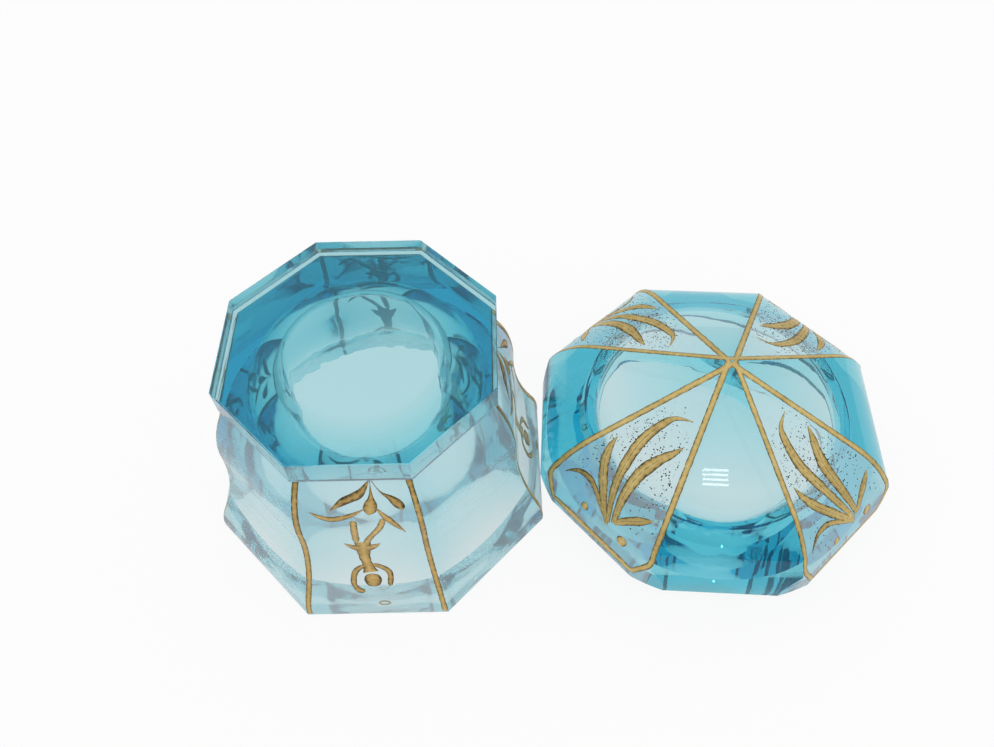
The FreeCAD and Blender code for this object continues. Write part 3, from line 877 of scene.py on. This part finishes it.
@dataclass(frozen=True)
class Gilder:
    """Lays brush strokes of gold on panels. Sizes in millimetres."""

    sunk: float = 0.03
    raised: float = 0.11
    underside: float = -0.6
    across_steps: int = 8
    step_length: float = 0.9
    least_steps: int = 8
    unsteady: float = 0.16
    unsteady_length: float = 1.7
    look_ahead: float = 0.01

    def paint(self, mesh: bmesh.types.BMesh, panel: Panel, stroke: Stroke) -> None:
        """Adds one closed, domed stroke to a mesh.

        Args:
            mesh: The mesh that takes the stroke.
            panel: The panel that it lies on.
            stroke: Its line, width and taper.
        """
        layers, ways = mesh.verts.layers.float, mesh.verts.layers.float_vector
        brim = layers.get("brim") or layers.new("brim")
        vein = layers.get("vein") or layers.new("vein")
        rise = ways.get("rise") or ways.new("rise")
        length = sum(math.dist(first, second) for first, second in zip(stroke.line, stroke.line[1:]))
        steps = max(self.least_steps, round(length / self.step_length))
        grid = bmesh.ops.create_grid(mesh, x_segments=steps, y_segments=self.across_steps, size=1.0)
        for vert in grid["verts"]:
            share, side = (vert.co.x + 1) / 2, vert.co.y
            along, across = self.brush_place(stroke, share, side)
            darkness = stroke.darkness_at(share)
            vert[brim] = abs(side) * (1 - darkness) + darkness
            vert[vein] = stroke.vein if abs(side) < 1 / self.across_steps else 0.0
            vert.co = panel.spot(along, across, -self.sunk)
            vert[rise] = panel.spot(along, across, self.raised * (1 - side**2)) - vert.co
        faces = list({face for vert in grid["verts"] for face in vert.link_faces})
        raised = bmesh.ops.extrude_face_region(mesh, geom=faces, use_keep_orig=True)["geom"]
        for vert in [item for item in raised if isinstance(item, bmesh.types.BMVert)]:
            vert.co += vert[rise]
        for vert in grid["verts"]:
            vert[brim], vert[vein] = self.underside, 0.0

    def brush_place(self, stroke: Stroke, share: float, side: float) -> Point:
        """Where a place in a stroke lies on the panel.

        Args:
            stroke: The stroke.
            share: Place along it, from 0 to 1.
            side: Place across it, from -1 to 1.

        Returns:
            Way along and across the panel.
        """
        here = smooth_line(stroke.line, share)
        before = smooth_line(stroke.line, max(0.0, share - self.look_ahead))
        after = smooth_line(stroke.line, min(1.0, share + self.look_ahead))
        run = Vector((after[0] - before[0], after[1] - before[1])).normalized()
        tremble = 1 + self.unsteady * noise.noise(Vector((*here, stroke.width)) / self.unsteady_length)
        reach = side * stroke.width / 2 * stroke.taper.share(share) * tremble
        return here[0] - run.y * reach, here[1] + run.x * reach


@dataclass(frozen=True)
class BoxGilding:
    """Gold on the box's four straight panels: bands along the edges, leaves and a small dancing figure."""

    glass: BoxGlass
    gilder: Gilder
    band_width: float = 1.6
    plinth_line_width: float = 0.5
    mouth_margin: float = 0.9
    band_points: int = 14
    ring_centre: Point = (6.0, 2.7)
    ring_reach: Point = (0.8, 1.6)
    ring_points: int = 8
    probe: float = 0.05

    def panels(self) -> list[Panel]:
        """The four gilded panels."""
        return [Panel(self.surface, self.panel_half_width, turn) for turn in every_second_turn(0)]

    def panel_half_width(self, level: float) -> float:
        """Half the width of a panel at a level above the mouth rim."""
        return self.glass.half_width(level) * math.tan(HALF_PANEL)

    def band_way(self, level: float) -> float:
        """Way across from a panel's middle to the middle of its band, at a level above the mouth rim."""
        return self.panel_half_width(level) - self.band_width / 2

    def surface(self, level: float) -> tuple[Point, Point]:
        """A place on the middle line of a wall.

        Args:
            level: Level above the mouth rim.

        Returns:
            The place and the outward direction there, each as way out and level.
        """
        below, above = self.glass.half_width(level - self.probe), self.glass.half_width(level + self.probe)
        outward = Vector((2 * self.probe, below - above)).normalized()
        return (self.glass.half_width(level), level), (outward.x, outward.y)

    def bands(self) -> list[Stroke]:
        """The bands along the two edges of a panel, and the fine line under the plinth."""
        low, high = self.mouth_margin, self.glass.plinth_level - self.plinth_line_width / 2
        levels = [low + (high - low) * step / self.band_points for step in range(self.band_points + 1)]
        strokes = []
        for side in (-1, 1):
            line = tuple((level, side * self.band_way(level)) for level in levels)
            # These bands run from bright gold at the mouth to darker gold towards the plinth.
            strokes.append(Stroke(line, self.band_width, Taper.BAND, 0.0, 0.55))
        across = tuple((high, side * self.band_way(high)) for side in (-1, 0, 1))
        strokes.append(Stroke(across, self.plinth_line_width, Taper.BAND, 0.8, 0.8))
        return strokes

    def leaves(self) -> list[Stroke]:
        """The spray that hangs from the plinth: two broad dark leaves, a bud and two long leaves."""
        return [
            Stroke(((57.0, 4.0), (53.4, 1.3), (51.2, -3.0), (48.2, -6.8)), 2.5, Taper.LEAF, 0.7, 0.6),
            Stroke(
                ((57.0, 4.7), (53.9, 6.7), (52.0, 9.2), (49.6, 11.2), (48.2, 11.5)),
                2.9, Taper.CLUB, 0.7, 0.6,
            ),
            Stroke(((57.8, 4.3), (53.0, 4.2), (49.8, 3.8), (46.4, 2.9)), 3.7, Taper.CLUB, 0.7, 0.3),
            Stroke(
                ((48.8, 2.4), (46.2, -2.0), (44.9, -6.4), (45.9, -9.6), (47.9, -12.1)),
                2.0, Taper.LEAF, 0.4, 0.2,
            ),
            Stroke(((49.0, 5.0), (45.6, 7.0), (42.2, 9.3), (38.2, 11.7)), 2.0, Taper.LEAF, 0.4, 0.2),
        ]

    def figure(self) -> list[Stroke]:
        """The small dancing figure: legs, skirt, body, raised arms, a plain round head and a ring over it."""
        (up, across), (rise, reach) = self.ring_centre, self.ring_reach
        turns = [math.tau * step / self.ring_points for step in range(self.ring_points + 1)]
        ring = tuple((up + rise * math.sin(turn), across + reach * math.cos(turn)) for turn in turns)
        return [
            Stroke(((44.2, -1.4), (38.8, -1.8), (32.4, -2.2)), 1.9, Taper.LIMB),
            Stroke(((44.8, 6.4), (40.8, 5.1), (35.5, 2.0), (31.6, 0.2)), 1.8, Taper.LIMB),
            Stroke(
                ((31.9, -5.6), (29.8, -3.2), (29.4, -0.8), (29.8, 1.6), (31.6, 4.2)),
                3.6, Taper.LEAF, 0.2, 0.2,
            ),
            Stroke(((32.4, -0.6), (25.2, -1.0), (20.8, -0.5), (18.0, -0.1)), 4.6, Taper.WAIST, 0.15, 0.15),
            Stroke(
                ((20.9, -1.6), (18.4, -4.3), (14.0, -5.4), (11.3, -4.4), (10.5, -2.5)),
                1.7, Taper.LIMB, 0.2, 0.5,
            ),
            Stroke(((21.4, 0.8), (19.5, 3.9), (17.0, 5.3), (12.2, 4.8)), 1.7, Taper.LIMB, 0.2, 0.5),
            Stroke(((17.3, 0.2), (12.2, 0.2)), 4.9, Taper.ROUND, 0.3, 0.5),
            Stroke(ring, 0.45, Taper.BAND, 0.4, 0.4),
        ]

    def build(self) -> list[bpy.types.Object]:
        """Builds the gilding.

        Returns:
            The bands of all four panels, and their motifs, as two pieces.
        """
        pieces = []
        motifs = self.leaves() + self.figure()
        for name, strokes in (("box_gold_bands", self.bands()), ("box_gold_motifs", motifs)):
            mesh = bmesh.new()
            for panel in self.panels():
                for stroke in strokes:
                    self.gilder.paint(mesh, panel, stroke)
            pieces.append(make_piece(mesh, name, SHARP_GOLD))
        return pieces


@dataclass(frozen=True)
class LidGilding:
    """Gold on the lid's four diagonal panels: a border, a spray of leaves with two dots, and specks."""

    glass: LidGlass
    gilder: Gilder
    rib_width: float = 1.8
    foot_width: float = 3.2
    foot_level: float = 3.4
    apex_clear: float = 0.6
    foot_spare: float = 0.3
    foot_points: int = 4
    rib_points: int = 16
    speck_count: int = 420
    speck_size: float = 0.34
    speck_seed: int = 5
    speck_handful: int = 30
    speck_ways: tuple[float, float, float] = (18.0, 58.0, 38.0)
    speck_sizes: Point = (0.4, 1.4)
    speck_margin: float = 1.0

    def panels(self) -> list[Panel]:
        """The four gilded panels."""
        glass = self.glass
        places = [glass.place @ turn for turn in every_second_turn(1)]
        return [Panel(glass.on_panel, glass.panel_half_width, place) for place in places]

    def border(self) -> list[Stroke]:
        """The border of a panel: a rib down each edge, and a broad line with rounded ends across the foot."""
        foot = self.foot_way()
        start, end = self.apex_clear, foot
        downs = [start + (end - start) * step / self.rib_points for step in range(self.rib_points + 1)]
        edge = [(down, self.glass.panel_half_width(down) - self.rib_width / 2) for down in downs]
        reach = edge[-1][1] + self.rib_width / 2 - self.foot_spare
        # The ribs grow darker from the apex down to the foot of the panel.
        ribs = [Stroke(tuple((down, side * way) for down, way in edge), self.rib_width, Taper.BAND, 0.1, 0.35)
                for side in (-1, 1)]
        steps = range(-self.foot_points, self.foot_points + 1)
        line = tuple((foot, reach * step / self.foot_points) for step in steps)
        return ribs + [Stroke(line, self.foot_width, Taper.LIMB, 0.3, 0.3)]

    def foot_way(self) -> float:
        """Way down a panel to the middle of the line across its foot."""
        rise = (self.foot_level - self.glass.wall_height) / self.glass.shoulder_radius
        lean = math.pi / 2 - self.glass.slope
        return self.glass.facet_length + (lean - math.asin(rise)) * self.glass.shoulder_radius

    def spray(self) -> list[Stroke]:
        """The leaves and dots, from places given as way out from the axis and way across."""
        shapes = [
            (
                ((49.9, 3.2), (47.8, -2.2), (46.0, -6.8), (45.8, -11.0), (46.8, -13.8), (48.0, -15.8)),
                1.8, 0.9,
            ),
            (((49.9, 3.1), (45.4, -3.4), (41.0, -7.6), (37.0, -9.5), (33.6, -9.9)), 3.0, 0.3),
            (
                ((49.5, 3.2), (43.3, -1.0), (36.8, -3.0), (30.5, -3.8))
                + ((24.5, -2.8), (20.6, -0.9), (18.4, 3.4)),
                3.2, 0.3,
            ),
            (((49.0, 4.7), (43.4, 2.7), (37.0, 2.2), (31.6, 3.5), (27.6, 5.4), (25.0, 6.3)), 3.6, 0.3),
            (((48.9, 4.8), (46.8, 8.1), (44.8, 11.5), (43.4, 13.6)), 2.7, 0.3),
        ]
        dots = [((50.2, -5.2), 2.7), ((50.3, 9.5), 3.3)]
        strokes = []
        for line, width, tip in shapes:
            on_panel = tuple((self.glass.way_down(out), across) for out, across in line)
            strokes.append(Stroke(on_panel, width, Taper.BLADE, 0.25, tip, 1.0))
        for (out, across), width in dots:
            down = self.glass.way_down(out)
            line = ((down - width / 2, across), (down + width / 2, across))
            strokes.append(Stroke(line, width, Taper.ROUND, 0.1, 0.1))
        return strokes

    def specks(self, number: int) -> list[Stroke]:
        """Dark specks that the rubbed ground of a panel has left between its leaves.

        Args:
            number: Number of the panel, so that no two panels are speckled alike.

        Returns:
            One small dab for each speck.
        """
        draw = random.Random(self.speck_seed + number)
        strokes = []
        for _ in range(self.speck_count):
            down = draw.triangular(*self.speck_ways)
            reach = self.glass.panel_half_width(down) - self.rib_width - self.speck_margin
            across = draw.uniform(-reach, reach)
            size = self.speck_size * draw.uniform(*self.speck_sizes)
            strokes.append(Stroke(((down, across), (down + size, across)), size, Taper.ROUND, 1.0, 1.0))
        return strokes

    def sprinkle(self, mesh: bmesh.types.BMesh, panel: Panel, fine: Gilder, specks: list[Stroke]) -> None:
        """Paints specks a handful at a time, which is quicker than one by one in a large mesh.

        Args:
            mesh: The mesh that takes the specks.
            panel: The panel that they lie on.
            fine: The gilder with the small brush.
            specks: The specks of the panel.
        """
        for first in range(0, len(specks), self.speck_handful):
            few = bmesh.new()
            for stroke in specks[first:first + self.speck_handful]:
                fine.paint(few, panel, stroke)
            data = bpy.data.meshes.new("handful_of_specks")
            few.to_mesh(data)
            few.free()
            mesh.from_mesh(data)
            bpy.data.meshes.remove(data)

    def build(self) -> list[bpy.types.Object]:
        """Builds the gilding.

        Returns:
            The borders of all four panels, their sprays and their specks, as three pieces.
        """
        borders, leaves, specks = bmesh.new(), bmesh.new(), bmesh.new()
        fine = replace(self.gilder, across_steps=2, least_steps=3)
        for number, panel in enumerate(self.panels()):
            for stroke in self.border():
                self.gilder.paint(borders, panel, stroke)
            for stroke in self.spray():
                self.gilder.paint(leaves, panel, stroke)
            self.sprinkle(specks, panel, fine, self.specks(number))
        return [
            make_piece(borders, "lid_gold_borders", SHARP_GOLD),
            make_piece(leaves, "lid_gold_leaves", SHARP_GOLD),
            make_piece(specks, "lid_gold_specks", SHARP_GOLD),
        ]


@dataclass(frozen=True)
class Stage:
    """White table, soft light all round, a small barred window and the camera of the photograph."""

    floor_half: float = 3.0
    floor_drop: float = 0.1 * MM
    floor_colour: Colour = (0.9, 0.9, 0.9)
    floor_roughness: float = 0.8
    floor_glow_share: float = 0.9
    floor_seen_in_glass: float = 0.8
    world_lit: float = 0.88
    world_seen_in_glass: float = 0.8
    world_low_in_glass: float = 0.4
    world_shade_in_glass: float = 0.6
    world_rise: Point = (0.0, 0.7)
    world_turn: Point = (-0.9, -0.1)
    window_place: Place = (0.284, -0.452, 0.912)
    window_aim: Place = (0.1, -0.02, 0.035)
    window_bars: int = 4
    window_bar: Point = (0.036, 0.0046)
    window_pitch: float = 0.0092
    window_roll: float = math.radians(-24)
    window_power: float = 0.004
    camera_place: Place = (0.0365, -0.1313, 0.239)
    camera_fall: float = math.radians(55.1)
    camera_roll: float = math.radians(-1.15)
    picture_width: int = 994
    focal_pixels: float = 821.0
    sensor_width: float = 36.0
    camera_near: float = 0.01
    bounces: int = 24

    def build(self) -> None:
        """Sets up the table, the light and the camera."""
        scene = bpy.context.scene
        scene.view_settings.view_transform = "Standard"
        scene.cycles.max_bounces = self.bounces
        scene.cycles.transmission_bounces = self.bounces
        scene.cycles.glossy_bounces = self.bounces
        self.lay_floor()
        self.light_world()
        self.hang_window()
        self.set_camera()

    def seen_share(self, bench: NodeBench, direct: float, in_glass: object) -> bpy.types.NodeSocket:
        """How far a surface shows its own white: to the camera, in glass and in gold, but to no other light.

        Args:
            bench: The node tree.
            direct: Share for rays from the camera.
            in_glass: Share for rays that glass or gold sends on, a number or an output.

        Returns:
            The share's output.
        """
        path = bench.add("LightPath")
        sent_on = bench.maths("MAXIMUM", path.outputs["Is Glossy Ray"], path.outputs["Is Transmission Ray"])
        from_camera = bench.maths("MULTIPLY", path.outputs["Is Camera Ray"], direct)
        return bench.maths("MAXIMUM", from_camera, bench.maths("MULTIPLY", sent_on, in_glass))

    def lay_floor(self) -> None:
        """Lays the white table."""
        mesh = bmesh.new()
        bmesh.ops.create_grid(mesh, x_segments=1, y_segments=1, size=self.floor_half)
        bmesh.ops.translate(mesh, vec=(0, 0, -self.floor_drop), verts=mesh.verts)
        floor = make_piece(mesh, "table", SHARP_TABLE)
        material = bpy.data.materials.new("white_table")
        material.use_nodes = True
        bench = NodeBench(material.node_tree)
        shader = material.node_tree.nodes["Principled BSDF"]
        output = material.node_tree.nodes["Material Output"]
        bench.feed(shader, Base_Color=self.floor_colour, Roughness=self.floor_roughness)
        white = self.seen_share(bench, 1.0, self.floor_seen_in_glass)
        glow = bench.feed(bench.add("Emission"), Strength=white)
        share = self.seen_share(bench, self.floor_glow_share, self.floor_glow_share)
        mixed = bench.mix_shaders(share, shader.outputs["BSDF"], glow.outputs["Emission"])
        bench.put(output.inputs["Surface"], mixed)
        floor.data.materials.append(material)

    def light_world(self) -> None:
        """Lights everything from all round."""
        world = bpy.data.worlds.new("soft_white_room")
        world.use_nodes = True
        bpy.context.scene.world = world
        bench = NodeBench(world.node_tree)
        background = world.node_tree.nodes["Background"]
        heading = bench.add("SeparateXYZ")
        bench.put(heading.inputs["Vector"], bench.add("TexCoord").outputs["Generated"])
        low, high = self.world_low_in_glass, self.world_seen_in_glass
        height = bench.fade(heading.outputs["Z"], self.world_rise, low, high)
        side = bench.fade(heading.outputs["Y"], self.world_turn, self.world_shade_in_glass, 1.0)
        room = bench.maths("MULTIPLY", height, side)
        seen = self.seen_share(bench, 1.0, room)
        path = bench.add("LightPath")
        lit = bench.maths("MULTIPLY", path.outputs["Is Diffuse Ray"], self.world_lit)
        bench.feed(background, Color=WHITE, Strength=bench.maths("MAXIMUM", seen, lit))

    def hang_window(self) -> None:
        """Hangs a small barred window over the table, which the lid's front facet mirrors."""
        way = Vector(self.window_aim) - Vector(self.window_place)
        look = way.to_track_quat("-Z", "Y").to_matrix().to_4x4()
        place = Matrix.Translation(self.window_place) @ look @ Matrix.Rotation(self.window_roll, 4, "Z")
        for number in range(self.window_bars):
            data = bpy.data.lights.new(f"window_pane_{number}", "AREA")
            data.shape = "RECTANGLE"
            data.size, data.size_y = self.window_bar
            data.energy = self.window_power
            pane = bpy.data.objects.new(data.name, data)
            bpy.context.scene.collection.objects.link(pane)
            step = (number - (self.window_bars - 1) / 2) * self.window_pitch
            pane.matrix_world = place @ Matrix.Translation((0, step, 0))

    def set_camera(self) -> None:
        """Stands the camera where the photograph was taken."""
        data = bpy.data.cameras.new("camera")
        data.sensor_width = self.sensor_width
        data.lens = self.focal_pixels / self.picture_width * self.sensor_width
        data.clip_start = self.camera_near
        camera = bpy.data.objects.new("camera", data)
        bpy.context.scene.collection.objects.link(camera)
        tilt = Matrix.Rotation(math.pi / 2 - self.camera_fall, 4, "X")
        roll = Matrix.Rotation(self.camera_roll, 4, "Z")
        camera.matrix_world = Matrix.Translation(self.camera_place) @ tilt @ roll
        bpy.context.scene.camera = camera


def main() -> None:
    """Builds the box, the lid, their gilding and the stage."""
    logging.basicConfig(level=logging.INFO, format="%(name)s: %(message)s")
    glass = AquaGlass().material()
    box_gold = WornGold(
        "box_gold",
        light=(0.78, 0.57, 0.22),
        middle=(0.54, 0.36, 0.11),
        dark=(0.26, 0.16, 0.05),
        outline=(0.07, 0.045, 0.02),
    ).material()
    lid_gold = WornGold(
        "lid_gold",
        light=(0.86, 0.69, 0.30),
        middle=(0.64, 0.47, 0.16),
        dark=(0.38, 0.28, 0.10),
        outline=(0.07, 0.05, 0.02),
    ).material()
    gilder = Gilder()

    box = BoxGlass()
    box_glass = box.build()
    box_glass.data.materials.append(glass)
    settle(box_glass, Body.BOX, Slot.GLASS, "box_glass")
    bands, motifs = BoxGilding(box, gilder).build()
    settle(bands, Body.BOX, Slot.GOLD, "box_frame_gilding")
    settle(motifs, Body.BOX, Slot.GOLD, "box_motif_gilding")

    lid = LidGlass()
    lid_glass = lid.build()
    lid_glass.data.materials.append(glass)
    settle(lid_glass, Body.LID, Slot.GLASS, "lid_glass")
    borders, leaves, specks = LidGilding(lid, gilder).build()
    settle(borders, Body.LID, Slot.GOLD, "lid_frame_gilding")
    settle(leaves, Body.LID, Slot.GOLD, "lid_leaf_gilding")
    settle(specks, Body.LID, Slot.GOLD, "lid_leaf_gilding")

    for piece in (bands, motifs):
        piece.data.materials.append(box_gold)
    for piece in (borders, leaves, specks):
        piece.data.materials.append(lid_gold)
    Stage().build()


if __name__ == "__main__":
    main()
